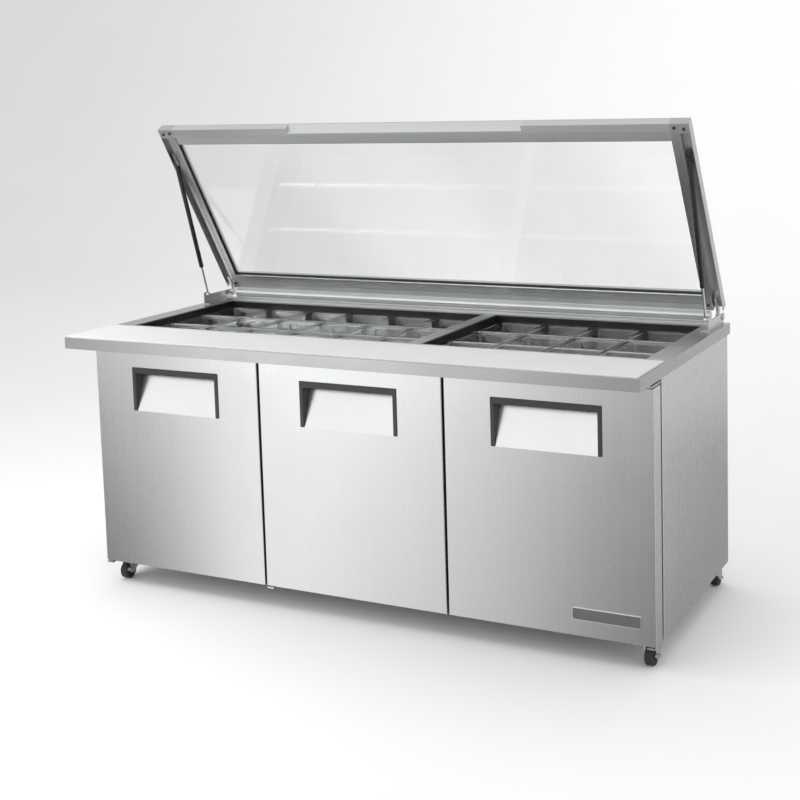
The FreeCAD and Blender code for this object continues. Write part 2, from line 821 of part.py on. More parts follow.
def door(name, step, hinge_side):
    """Built about its own centre line, then moved along X; the hinge is at its left or right edge."""
    centre = f"{step} * door_step"
    pivot_x = f"{hinge_side} * (door_half - door_pivot_inset)"
    across, height = mirrored_pair("door_half"), ("door_bottom", "door_top")

    panel = new_body()
    pad(panel, "XY", [rectangle(*across, "door_front", "door_back")], *height)
    front = amount("door_front")
    soften(panel, "door_round", lambda d, m: abs(m.y - front) < 0.1)
    scoop_half = "grip_half - grip_side + cheek_thick"
    scoop_top = "grip_top - grip_lip"
    scoop = [("door_front - 1", scoop_top), ("door_front - 1", "grip_bottom"),
             ("door_front", "grip_bottom"), ("door_front + grip_depth", scoop_top)]
    pocket(panel, "YZ", [scoop], *mirrored_pair(scoop_half))
    hole = (pivot_x, "door_pivot_y", "pin_radius + pin_fit")
    pocket(panel, "XY", [hole], "door_bottom - 1", "door_bottom + pin_hole")
    pocket(panel, "XY", [hole], "door_top - pin_hole", "door_top + 1")

    behind = "door_front + grip_depth + skin_thick"
    room = rectangle(*inset(across, "skin_thick"), *inset(height, "skin_thick"))
    pocket(panel, "XZ", [room], behind, "door_back - skin_thick")
    scoop_box = rectangle(*mirrored_pair(f"{scoop_half} + skin_thick"), "grip_bottom - 4",
                          f"{scoop_top} + skin_thick")
    pocket(panel, "XZ", [front_room(hinge_side), scoop_box], "door_front + skin_thick", f"{behind} + 1")
    keep(f"door_panel_{name}", place(panel, centre))

    liner = new_body()
    edge = "gasket_inset + gasket_width + 6"
    pad(liner, "XZ", [rectangle(*inset(across, edge), *inset(height, edge))],
        "door_back", "door_back + liner_thick")
    back = amount("door_back + liner_thick")
    soften(liner, 4, lambda d, m: abs(m.y - back) < 0.1 or abs(d.y) > 0.9)
    keep(f"door_liner_{name}", place(liner, centre))

    rings = [rectangle(*inset(across, at), *inset(height, at))
             for at in ("gasket_inset", "gasket_inset + gasket_width")]
    gasket = solid("XZ", rings, "door_back", "door_back + gasket_thick")
    keep(f"door_gasket_{name}", place(gasket, centre))
    keep(f"door_grip_{name}", place(grip(), centre))


def front_room(hinge_side):
    """The outline of the space behind a door's face, with a block left around each pin."""
    low, high = inset(("door_bottom", "door_top"), "skin_thick")
    block_low, block_high = inset(("door_bottom", "door_top"), "pin_hole + 2")
    hinge_edge, free_edge = "door_half - skin_thick", "-door_half + skin_thick"
    block_edge = "door_half - door_pivot_inset - pin_radius - 2"
    corners = [(free_edge, low), (block_edge, low), (block_edge, block_low), (hinge_edge, block_low),
               (hinge_edge, block_high), (block_edge, block_high), (block_edge, high), (free_edge, high)]
    return [(f"{hinge_side} * ({x})", z) for x, z in corners]


def grip():
    """An upside-down U around the scoop, with a cheek down each side of it."""
    trim = new_body()
    inside = "grip_half - grip_side"
    below = "grip_top - grip_band"
    outline = [("-grip_half", "grip_bottom"), (minus(inside), "grip_bottom"), (minus(inside), below),
               (inside, below), (inside, "grip_bottom"), ("grip_half", "grip_bottom"),
               ("grip_half", "grip_top"), ("-grip_half", "grip_top")]
    pad(trim, "XZ", [outline], "door_front - grip_proud", "door_front")
    front = amount("door_front - grip_proud")
    soften(trim, 2, lambda d, m: abs(d.y) > 0.9)
    soften(trim, 1, lambda d, m: abs(m.y - front) < 0.05)
    scoop_top = "grip_top - grip_lip"
    cheek = [("door_front", scoop_top), ("door_front", "grip_bottom + 6"),
             ("door_front + grip_depth - 2", scoop_top)]
    for side in (-1, 1):
        ends = span(f"{side} * ({inside})", f"{side} * ({inside} + cheek_thick)")
        pad(trim, "YZ", [cheek], *ends)
    return trim


def nameplate():
    plate = new_body()
    across, height = ("plate_left", "plate_right"), ("plate_low", "plate_high")
    pad(plate, "XZ", [rectangle(*across, *height)], "door_front - plate_thick", "door_front")
    soften(plate, 4, lambda d, m: abs(d.y) > 0.9)
    field = rectangle(*inset(across, "plate_rim"), *inset(height, "plate_rim"))
    pocket(plate, "XZ", [field], "door_front - plate_thick - 1", "door_front - plate_thick + plate_web")
    keep("nameplate", place(plate, "door_step"))


def door_hinges():
    """Brackets on the cabinet that reach over and under each door, with the pins the doors turn on."""
    pieces = []
    reach = ("door_pivot_y - hinge_lead", "cabinet_front")
    over_low = "door_top + hinge_gap"
    under_low = "cabinet_bottom - hinge_thick"
    for step, side in DOORS.values():
        x = f"{step} * door_step + {side} * (door_half - door_pivot_inset)"
        across = around(x, "hinge_half")
        over = box(across, reach, (over_low, f"{over_low} + hinge_thick"))
        over_pin = rod("pin_radius", "pin_length", x, "door_pivot_y", f"{over_low} + 1 - pin_length")
        under = box(across, reach, (under_low, "cabinet_bottom"))
        tab = box(across, ("cabinet_front - hinge_tab", "cabinet_front"), (under_low, "hinge_tab_high"))
        under_pin = rod("pin_radius", "pin_length", x, "door_pivot_y", "cabinet_bottom - 1")
        pieces += [fuse(over, over_pin), fuse(under, tab, under_pin)]
    keep("door_hinges", group(*pieces))


# ---------------------------------------------------------------- Lid
# Lid pieces are drawn lying flat: y runs from 0 at the hinge end to -lid_length at the front, z runs from
# 0 on the underside to lid_thick on top. The whole lid is then tilted back by lid_angle.

def on_lid(name, piece):
    return keep(name, place(piece, 0, "lid_base_y", "lid_base_z", "1;0;0", "-lid_angle"))


def grooves(start, spots, width, depth):
    """The corners of square grooves in an underside, in the order of the spots."""
    corners = []
    for spot in spots:
        near, far = f"{start} + ({spot})", f"{start} + ({spot}) + {width}"
        corners += [(near, "0"), (near, depth), (far, depth), (far, "0")]
    return corners


def side_rail(sign):
    """The section at one side, with a channel under its outer part for the strut."""
    rail = new_body()
    section = [("glass_half", "0")] + grooves("glass_half", ("8", "15"), "rib_groove", "rib_groove")
    section += [("channel_inner", "0"), ("channel_inner", "channel_depth"),
                ("channel_half", "channel_depth"), ("channel_half", "0"), ("lid_half", "0"),
                ("lid_half", "lid_thick"), ("glass_half", "lid_thick")]
    section = [(f"{sign} * ({x})", z) for x, z in section]
    stop = "-lid_length + channel_stop"
    pad(rail, "XZ", [section], stop, "0")
    ends = span(f"{sign} * glass_half", f"{sign} * lid_half")
    pad(rail, "XZ", [rectangle(*ends, "0", "lid_thick")], "-lid_length", stop)
    hollow = span(f"{sign} * (glass_half + 2.5)", f"{sign} * (channel_inner - 2.5)")
    pocket(rail, "XZ", [rectangle(*hollow, "4", "lid_thick - 2.5")], f"{stop} + 2", "-3")
    outer = sign * amount("lid_half")
    soften(rail, 1.2, lambda d, m: abs(m.x - outer) < 0.1 and abs(d.y) > 0.9)
    return rail


def lid():
    on_lid("lid_side_rails", group(side_rail(-1), side_rail(1)))
    across = mirrored_pair("glass_half")
    lid_rear_rail(across)
    edge = "-lid_length + front_rail"
    lid_front_rail(across, edge)

    glass = box(across, (edge, "-rear_rail"), ("glass_low", "glass_low + glass_thick"))
    on_lid("lid_glass", group(glass))
    opening = (edge, "-rear_rail")
    rings = [rectangle(*across, *opening),
             rectangle(*inset(across, "seal_width"), *inset(opening, "seal_width"))]
    on_lid("lid_seal", solid("XY", rings, "glass_low - 6", "glass_low"))

    arms = []
    arm = [("-arm_reach", "2"), ("4", "2"), ("10", "-13"), ("22", "-14"), ("28", "-10"), ("28", "4"),
           ("10", "channel_depth"), ("-arm_reach", "channel_depth")]
    for side in (-1, 1):
        ends = span(f"{side} * arm_inner", f"{side} * arm_outer")
        plate = solid("YZ", [arm], *ends)
        hole = ("pivot_behind", "-pivot_below", "pin_radius + pin_fit")
        pocket(plate, "YZ", [hole], *inset(ends, "-1"))
        arms.append(plate)
    on_lid("lid_hinge_arms", group(*arms))

    brackets = []
    for side in (-1, 1):
        ends = span(f"{side} * (channel_inner + 0.5)", f"{side} * (channel_inner + 0.5 + strut_plate)")
        outline = rectangle("-mount_along - 16", "-mount_along + 30", "-8", "channel_depth")
        brackets.append(solid("YZ", [outline], *ends))
    on_lid("lid_strut_brackets", group(*brackets))

    screws = []
    for side in (-1, 1):
        for x, y in (("rail_screw_side", "-20"), ("rail_screw_side", "-lid_length + 14"),
                     ("corner_screw_side", "-lid_length + 18")):
            screws.append(rod("screw_radius", "screw_head", f"{side} * {x}", y, "-screw_head"))
    on_lid("lid_screws", group(*screws))


def lid_rear_rail(across):
    """A ribbed strip nearest the glass, a dark line, then a flat band at the hinge end."""
    rail = new_body()
    section = [("0", "0"), ("0", "lid_thick"), ("-rear_rail", "lid_thick"), ("-rear_rail", "0")]
    section += grooves("-rear_band", ("-24", "-16", "-8"), "rib_groove", "rib_groove")
    section += grooves("-rear_band", ("-rear_line",), "rear_line", "rear_line")
    pad(rail, "YZ", [section], *across)
    hollow = rectangle("-rear_rail + 3", "-3", "5.5", "lid_thick - 2.5")
    pocket(rail, "YZ", [hollow], *inset(across, 3))
    on_lid("lid_rear_rail", rail)


def lid_front_rail(across, edge):
    """A stepped strip whose outer corner is scooped away in the middle as a hand hold."""
    rail = new_body()
    start = "-lid_length"
    step = f"{start} + front_step"
    after = f"{step} + rear_line"
    section = [(start, "0"), (step, "0"), (step, "5"), (after, "5"), (after, "front_step_deep"),
               (edge, "front_step_deep"), (edge, "lid_thick"), (start, "lid_thick")]
    pad(rail, "YZ", [section], *across)
    scoop = [(f"{start} - 1", "-1"), (f"{start} + scoop_run", "-1"), (f"{start} - 1", "scoop_rise")]
    pocket(rail, "YZ", [scoop], *mirrored_pair("scoop_half"))
    hollow = rectangle(f"{start} + scoop_run + 3", f"{edge} - 3", "7.5", "lid_thick - 2.5")
    pocket(rail, "YZ", [hollow], *inset(across, 3))
    on_lid("lid_front_rail", rail)


def lid_hinge():
    keep("lid_hinge_rail", box(mirrored_pair("cover_half + 10"), ("hinge_rail_front", "hinge_rail_back"),
                               ("work_height", "cover_low")))
    barrel = rod("cover_radius", "2 * cover_half", "-cover_half", "pivot_back", "pivot_height", "X")
    foot = box(mirrored_pair("cover_half"), around("pivot_back", "cover_foot"),
               ("cover_low", "pivot_height"))
    keep("lid_hinge_cover", fuse(barrel, foot))

    front = "ball_back - bracket_lead"
    outline = [(front, "work_height"), ("bracket_back", "work_height"), ("bracket_back", "bracket_step"),
               ("ball_back + 20", "bracket_step"), ("ball_back + 9", "bracket_high"),
               ("ball_back - 9", "bracket_high"), (front, "bracket_high - 3")]
    plates = []
    for side in (-1, 1):
        plate = new_body()
        pad(plate, "YZ", [outline], *span(f"{side} * bracket_inner", f"{side} * bracket_outer"))
        foot = span(f"{side} * (bracket_inner - bracket_foot)", f"{side} * bracket_inner")
        pad(plate, "XY", [rectangle(*foot, front, "bracket_back")],
            "work_height", "work_height + bracket_thick")
        pin = span(f"{side} * (arm_inner - 2)", f"{side} * bracket_inner")
        pad(plate, "YZ", [("pivot_back", "pivot_height", "pin_radius")], *pin)
        stud = span(f"{side} * (strut_side - stud_reach)", f"{side} * bracket_inner")
        pad(plate, "YZ", [("ball_back", "ball_height", "stud_radius")], *stud)
        boss = span(f"{side} * bracket_outer", f"{side} * (bracket_outer + bracket_thick)")
        pad(plate, "YZ", [("pivot_back", "pivot_height", "boss_radius")], *boss)
        plates.append(plate)
    keep("lid_side_brackets", group(*plates))


# ---------------------------------------------------------------- Gas struts
# A strut is drawn standing on its lower ball: z runs along it to the upper mount.

def strut(name, side):
    spot = (f"{side} * strut_side", "ball_back", "ball_height", "1;0;0", "strut_tilt")
    eye = mirrored_pair("eye_half")
    rod_end = "rod_shown + rod_hidden"
    piston_end, piston = f"{rod_end} + piston_thick", "tube_bore - 0.1"
    shaft = new_body()
    revolve(shaft, "XZ", [[("0", "3"), ("rod_radius", "3"), ("rod_radius", rod_end), (piston, rod_end),
                           (piston, piston_end), ("0", piston_end)]], "V_Axis")
    pad(shaft, "YZ", [("0", "0", "eye_radius")], *eye)
    pocket(shaft, "YZ", [("0", "0", "stud_radius + pin_fit")], *inset(eye, "-1"))
    keep(f"strut_rod_{name}", place(shaft, *spot))

    top, neck, slide = "strut_length", "tube_radius - 3.5", "rod_radius + 0.1"
    outside = [("tube_radius - 1", "rod_shown"), ("tube_radius", "rod_shown + 1.5"),
               ("tube_radius", f"{top} - 22"), ("tube_radius - 2", f"{top} - 19"),
               (neck, f"{top} - 17"), (neck, f"{top} - 4"), ("0", f"{top} - 4")]
    inside = [("0", f"{top} - 24"), ("tube_bore", f"{top} - 24"), ("tube_bore", "rod_shown + 6"),
              (slide, "rod_shown + 6")]
    tube = new_body()
    revolve(tube, "XZ", [[(slide, "rod_shown")] + outside + inside], "V_Axis")
    pad(tube, "YZ", [("0", top, "eye_radius")], *eye)
    pad(tube, "YZ", [("0", top, "stud_radius")], *span(f"{side} * 4", f"{side} * -9"))
    keep(f"strut_cylinder_{name}", place(tube, *spot))


# ---------------------------------------------------------------- Casters
# A caster is drawn about its swivel axis, with the axle at y = caster_trail behind it.

def caster_fork(trail, towards):
    fork = new_body()
    head = span(-18 * towards, 40 * towards)
    pad(fork, "XY", [rectangle(*mirrored_pair("fork_reach"), *head)], "fork_under", "fork_top")
    leg = [(-14, "fork_top"), (-14, "fork_under - 6"), (28, "20"), (38, "18"), (46, "24"), (44, "40"),
           (40, "fork_top")]
    leg = [(str(y * towards), z) for y, z in leg]
    for side in (-1, 1):
        pad(fork, "YZ", [leg], *span(f"{side} * fork_reach", f"{side} * fork_gap"))
    axle = (trail, "wheel_radius", "pin_radius")
    pad(fork, "YZ", [axle], "-fork_reach - axle_end", "lever_near + lever_thick + axle_end")
    pocket(fork, "XY", [("0", "0", "king_radius + pin_fit")], *inset(("fork_under", "fork_top"), "-1"))
    return fork


def caster_wheel():
    """Tyre and hub in one moulding, about its own centre, turning about X."""
    wheel = new_body()
    half, bore = "wheel_width / 2", "pin_radius + pin_fit"
    web = f"{half} - 3"
    side = [(half, bore), (half, "9"), (web, "10"), (web, "18"), (half, "19"),
            (half, "wheel_radius - 3"), (web, "wheel_radius")]
    other_side = [(minus(x), radius) for x, radius in reversed(side)]
    revolve(wheel, "XZ", [side + other_side], "H_Axis")
    return wheel


def brake_lever():
    """A pressed lever beside the fork, about the axle, with a pedal turned outwards."""
    lever = new_body()
    outline = [("7", "-5"), ("8", "3"), ("4", "8"), ("-18", "16"), ("-26", "12"), ("-24", "7"), ("-5", "-6")]
    far = "lever_near + lever_thick"
    pad(lever, "YZ", [outline, ("0", "0", "pin_radius + pin_fit")], "lever_near", far)
    pedal = rectangle(f"{far} - 0.1", "lever_near + pedal_reach", "-26", "-16")
    pad(lever, "XY", [pedal], "12", "12 + lever_thick")
    return lever


def casters():
    plates = []
    plate_low = "cabinet_bottom - caster_plate_thick"
    race_low = "fork_top + race_gap"
    for side, x in (("left", "-caster_side"), ("right", "caster_side")):
        for end, y, towards in (("front", "caster_front", -1), ("rear", "caster_back", 1)):
            plate = box(around(x, "caster_plate"), around(y, "caster_plate"), (plate_low, "cabinet_bottom"))
            race = rod("race_radius", f"{plate_low} - ({race_low})", x, y, race_low)
            king_pin = rod("king_radius", f"{race_low} - king_low", x, y, "king_low")
            rivet = rod("rivet_radius", "fork_under - race_gap - king_low", x, y, "king_low")
            plates.append(fuse(plate, race, king_pin, rivet))
            spot = f"{end}_{side}"
            trail = f"{towards} * caster_trail"
            axle = (x, f"{y} + {trail}", "wheel_radius")
            keep(f"caster_fork_{spot}", place(caster_fork(trail, towards), x, y))
            keep(f"caster_wheel_{spot}", place(caster_wheel(), *axle))
            if end == "front":
                keep(f"brake_lever_{side}", place(brake_lever(), *axle))
    keep("caster_plates", group(*plates))


# ---------------------------------------------------------------- Build, test and write

def build():
    fill_sheet()
    cabinet()
    worktop()
    pan_wells()
    pans()
    shelves()
    evaporator()
    compressor()
    condenser()
    rear_grille()
    for name, (step, side) in DOORS.items():
        door(name, step, side)
    nameplate()
    door_hinges()
    lid()
    lid_hinge()
    strut("left", -1)
    strut("right", 1)
    casters()
    doc.recompute()


def check():
    for item in doc.Objects:
        if "Invalid" in item.State or "Error" in item.State:
            raise RuntimeError(f"{item.Name} ({item.Label}) failed: {item.State}")
    for name, thing in parts.items():
        shape = thing.Shape
        if shape.isNull() or not shape.isValid() or not shape.Solids:
            raise RuntimeError(f"{name} has no valid solid")


def write():
    os.makedirs("parts", exist_ok=True)
    for name, thing in parts.items():
        thing.Shape.exportStep(f"parts/{name}.step")
    whole = Part.makeCompound([thing.Shape for thing in parts.values()]).BoundBox
    print(len(parts), "nodes")
    print(f"X {whole.XMin:.1f}..{whole.XMax:.1f}  Y {whole.YMin:.1f}..{whole.YMax:.1f}  "
          f"Z {whole.ZMin:.1f}..{whole.ZMax:.1f}")
    print(f"lid end y {amount('lid_base_y'):.2f} z {amount('lid_base_z'):.2f}, upper mount "
          f"y {amount('mount_y'):.2f} z {amount('mount_z'):.2f}, strut length {amount('strut_length'):.2f} "
          f"tilt {amount('strut_tilt'):.3f}")


build()
check()
write()
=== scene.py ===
import json
import math

import bpy
from mathutils import Matrix, Vector


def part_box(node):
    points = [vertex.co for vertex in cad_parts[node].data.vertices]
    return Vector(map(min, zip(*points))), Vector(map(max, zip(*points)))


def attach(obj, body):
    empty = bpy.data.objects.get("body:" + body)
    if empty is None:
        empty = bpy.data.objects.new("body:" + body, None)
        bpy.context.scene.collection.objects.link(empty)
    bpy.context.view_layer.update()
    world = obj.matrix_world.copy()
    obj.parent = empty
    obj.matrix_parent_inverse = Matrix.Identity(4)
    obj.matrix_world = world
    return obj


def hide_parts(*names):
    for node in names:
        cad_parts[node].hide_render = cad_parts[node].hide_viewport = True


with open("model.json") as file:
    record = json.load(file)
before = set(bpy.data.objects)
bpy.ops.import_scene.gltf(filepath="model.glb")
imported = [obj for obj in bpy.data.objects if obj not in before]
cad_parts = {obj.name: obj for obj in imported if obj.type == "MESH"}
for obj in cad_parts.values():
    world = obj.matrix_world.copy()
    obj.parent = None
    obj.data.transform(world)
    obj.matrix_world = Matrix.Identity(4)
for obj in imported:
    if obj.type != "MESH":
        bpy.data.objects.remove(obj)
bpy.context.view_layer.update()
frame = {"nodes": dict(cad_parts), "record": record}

# A sandwich prep table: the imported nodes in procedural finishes, finer clear pans and nameplate, a studio
# with a sweeping floor, soft lights and two glowing cards for the steel, and a camera with a little shift.

MM = 0.001


# ---------------------------------------------------------------- Node materials

EDGE_SAMPLES = 6
NO_GRAIN = (1, 1, 1)
UPRIGHT_GRAIN = (1, 1, 0.012)
LONG_GRAIN = (0.012, 1, 1)
STREAK_RANGE = (0.5, 1.1)        # what fine and broad streaks add up to
STREAK_DEPTH = 0.00015
STIPPLE_DEPTH = 0.0001
COOL_TINT = (0.985, 1.0, 1.01)


class Finish:
    """A Principled material with a small vocabulary for grain, smudges, wear and bump."""

    def __init__(self, name):
        self.material = bpy.data.materials.new(name)
        self.material.use_nodes = True
        self.tree = self.material.node_tree
        self.shader = self.tree.nodes["Principled BSDF"]
        self.place = self.tree.nodes.new("ShaderNodeTexCoord").outputs["Object"]

    def put(self, socket, value):
        """Link a socket, or set it to a constant."""
        if isinstance(value, bpy.types.NodeSocket):
            self.tree.links.new(value, socket)
        else:
            socket.default_value = value

    def node(self, kind, settings=None, **values):
        made = self.tree.nodes.new("ShaderNode" + kind)
        for key, value in (settings or {}).items():
            setattr(made, key, value)
        for key, value in values.items():
            self.put(made.inputs[key], value)
        return made

    def set(self, **values):
        """Set inputs of the shader, with spaces written as underscores."""
        for key, value in values.items():
            self.put(self.shader.inputs[key.replace("_", " ")], value)

    def noise(self, scale, detail=3.0, rough=0.5, stretch=NO_GRAIN, distort=0.0):
        """Noise over object space; stretch below 1 draws the pattern out along that axis."""
        mapped = self.node("Mapping", Vector=self.place, Scale=stretch).outputs["Vector"]
        return self.node("TexNoise", Vector=mapped, Scale=scale, Detail=detail, Roughness=rough,
                         Distortion=distort).outputs["Fac"]

    def spread(self, value, low, high, start=0.3, end=0.7):
        """Map a noise value onto a range."""
        made = self.node("MapRange", Value=value)
        for key, number in (("From Min", start), ("From Max", end), ("To Min", low), ("To Max", high)):
            made.inputs[key].default_value = number
        return made.outputs["Result"]

    def mix(self, factor, first, second):
        """Blend two colours."""
        made = self.node("Mix", {"data_type": "RGBA"})
        for index, value in ((0, factor), (6, first), (7, second)):
            self.put(made.inputs[index], value)
        return made.outputs[2]

    def sum(self, first, second, weight=1.0):
        """first + second * weight."""
        made = self.node("Math", {"operation": "MULTIPLY_ADD"})
        for index, value in enumerate((second, weight, first)):
            self.put(made.inputs[index], value)
        return made.outputs[0]

    def worn_edges(self, radius):
        """1 on sharp edges, 0 on faces."""
        soft = self.node("Bevel", {"samples": EDGE_SAMPLES}, Radius=radius).outputs["Normal"]
        true = self.node("NewGeometry").outputs["Normal"]
        made = self.node("VectorMath", {"operation": "DOT_PRODUCT"})
        self.put(made.inputs[0], soft)
        self.put(made.inputs[1], true)
        return self.spread(made.outputs["Value"], 1.0, 0.0, 0.86, 0.995)

    def relief(self, height, strength, distance, edge=0.0):
        """Bump from a height, on edges rounded in shading by a small radius."""
        bump = self.node("Bump", Height=height, Strength=strength, Distance=distance)
        if edge:
            rounded = self.node("Bevel", {"samples": EDGE_SAMPLES}, Radius=edge).outputs["Normal"]
            self.put(bump.inputs["Normal"], rounded)
        self.set(Normal=bump.outputs["Normal"])


def grey(level, tint=(1.0, 1.0, 1.0)):
    return (level * tint[0], level * tint[1], level * tint[2], 1.0)


def metal(name, level, rough, grain=NO_GRAIN, scale=400.0, contrast=0.07, smudge=0.05, edge=0.0006,
          bump=0.12, wear=0.25, tint=COOL_TINT):
    """Brushed or cast metal: streaks along one axis, faint handling smudges and brighter edges."""
    finish = Finish(name)
    streak = finish.noise(scale, 4.0, 0.62, grain)
    broad = finish.noise(scale / 9, 2.0, 0.5, grain)
    both = finish.sum(streak, broad, 0.6)
    marks = finish.noise(5.5, 4.0, 0.6, distort=0.4)
    low, high = grey(level * (1 - contrast), tint), grey(min(1.0, level * (1 + contrast)), tint)
    tone = finish.mix(finish.spread(both, 0.0, 1.0, *STREAK_RANGE), low, high)
    tone = finish.mix(finish.spread(marks, 0.0, smudge * 2), tone, grey(level * 0.8, tint))
    bright = finish.sum(finish.spread(marks, -0.3, 0.0), finish.worn_edges(edge * 2), wear)
    tone = finish.mix(bright, tone, grey(min(1.0, level * 1.3), tint))
    streaked_rough = finish.spread(both, rough * 0.9, rough * 1.1, *STREAK_RANGE)
    finish.set(Base_Color=tone, Metallic=1.0)
    finish.set(Roughness=finish.sum(streaked_rough, finish.spread(marks, -smudge, smudge)))
    finish.relief(both, bump, STREAK_DEPTH, edge)
    return finish.material


def fine_steel(name, level, rough, grain):
    """Small bright fittings, with a finer grain than sheet metal."""
    return metal(name, level, rough, grain, 900.0, contrast=0.10, smudge=0.04, edge=0.0004, bump=0.08,
                 wear=0.3)


def moulded(name, colour, rough, scale=900.0, bump=0.15, edge=0.0006, mottle=0.06, scuff=0.12, lift=1.5):
    """Moulded plastic, enamel or rubber: fine stipple, slight mottling, and lighter scuffed edges."""
    finish = Finish(name)
    stipple = finish.noise(scale, 3.0, 0.55)
    cloud = finish.noise(9.0, 4.0, 0.6)
    base = grey(1.0, colour)
    dark = grey(1 - mottle * 2, colour)
    light = tuple(min(1.0, channel * lift + 0.01) for channel in colour) + (1.0,)
    tone = finish.mix(finish.spread(cloud, 0.0, 1.0), dark, base)
    tone = finish.mix(finish.spread(finish.worn_edges(edge * 2), 0.0, scuff, 0.0, 1.0), tone, light)
    stippled_rough = finish.spread(stipple, rough - 0.04, rough + 0.04)
    finish.set(Base_Color=tone, Roughness=finish.sum(stippled_rough, finish.spread(cloud, -0.05, 0.05)))
    finish.relief(stipple, bump, STIPPLE_DEPTH, edge)
    return finish.material


def clear(name, colour, rough, ior, density=0.02, bump=0.02, scale=60.0, highlight_turn=None):
    """Clear sheet or moulding: slightly tinted, with faint smears that dull its shine.

    The last argument gives the turn of slanting bands of painted highlight: along them the sheet keeps its
    tone, between them it is greyed to 0.91.
    """
    finish = Finish(name)
    smear = finish.noise(7.0, 5.0, 0.65, distort=0.6)
    wave = finish.noise(scale, 2.0, 0.5)
    tone = finish.mix(finish.spread(smear, 0.0, density), grey(1.0, colour), grey(0.82, colour))
    if highlight_turn:
        # Slanting bands of painted highlight: brighter tint along them, greyed between
        turned = finish.node("Mapping", Vector=finish.place, Rotation=highlight_turn).outputs["Vector"]
        band = finish.node("TexWave", {"bands_direction": "X", "wave_profile": "SIN"}, Scale=0.33,
                           Distortion=0.0, Vector=turned)
        paler = finish.spread(band.outputs["Fac"], 0.0, 1.0, 0.2, 0.8)
        tone = finish.mix(paler, grey(0.91, colour), tone)
    finish.set(Base_Color=tone, Roughness=finish.spread(smear, rough * 0.6, rough * 1.6),
               Transmission_Weight=1.0, IOR=ior)
    finish.relief(wave, bump, 0.0002)
    return finish.material


def cutting_board_finish():
    """White polyethylene: matt, with knife scores both ways and faint grey use marks."""
    finish = Finish("board_white")
    stipple = finish.noise(700.0, 2.0, 0.5)
    across = finish.noise(60.0, 6.0, 0.75, (1, 14, 1), 0.3)
    along = finish.noise(45.0, 6.0, 0.75, (16, 1, 1), 0.3)
    stain = finish.noise(4.5, 4.0, 0.6, distort=0.8)
    cuts = finish.sum(finish.spread(across, 0.0, 1.0, 0.56, 0.72), finish.spread(along, 0.0, 1.0, 0.6, 0.74))
    paler, stained, scored = (0.57, 0.575, 0.57, 1), (0.52, 0.525, 0.51, 1), (0.44, 0.44, 0.42, 1)
    tone = finish.mix(finish.spread(stain, 0.0, 0.35), paler, stained)
    tone = finish.mix(finish.spread(cuts, 0.0, 0.14, 0.2, 1.4), tone, scored)
    finish.set(Base_Color=tone, Roughness=finish.spread(stain, 0.42, 0.55), Subsurface_Weight=0.05)
    finish.relief(finish.sum(stipple, cuts, -0.9), 0.22, 0.00018, 0.0012)
    return finish.material


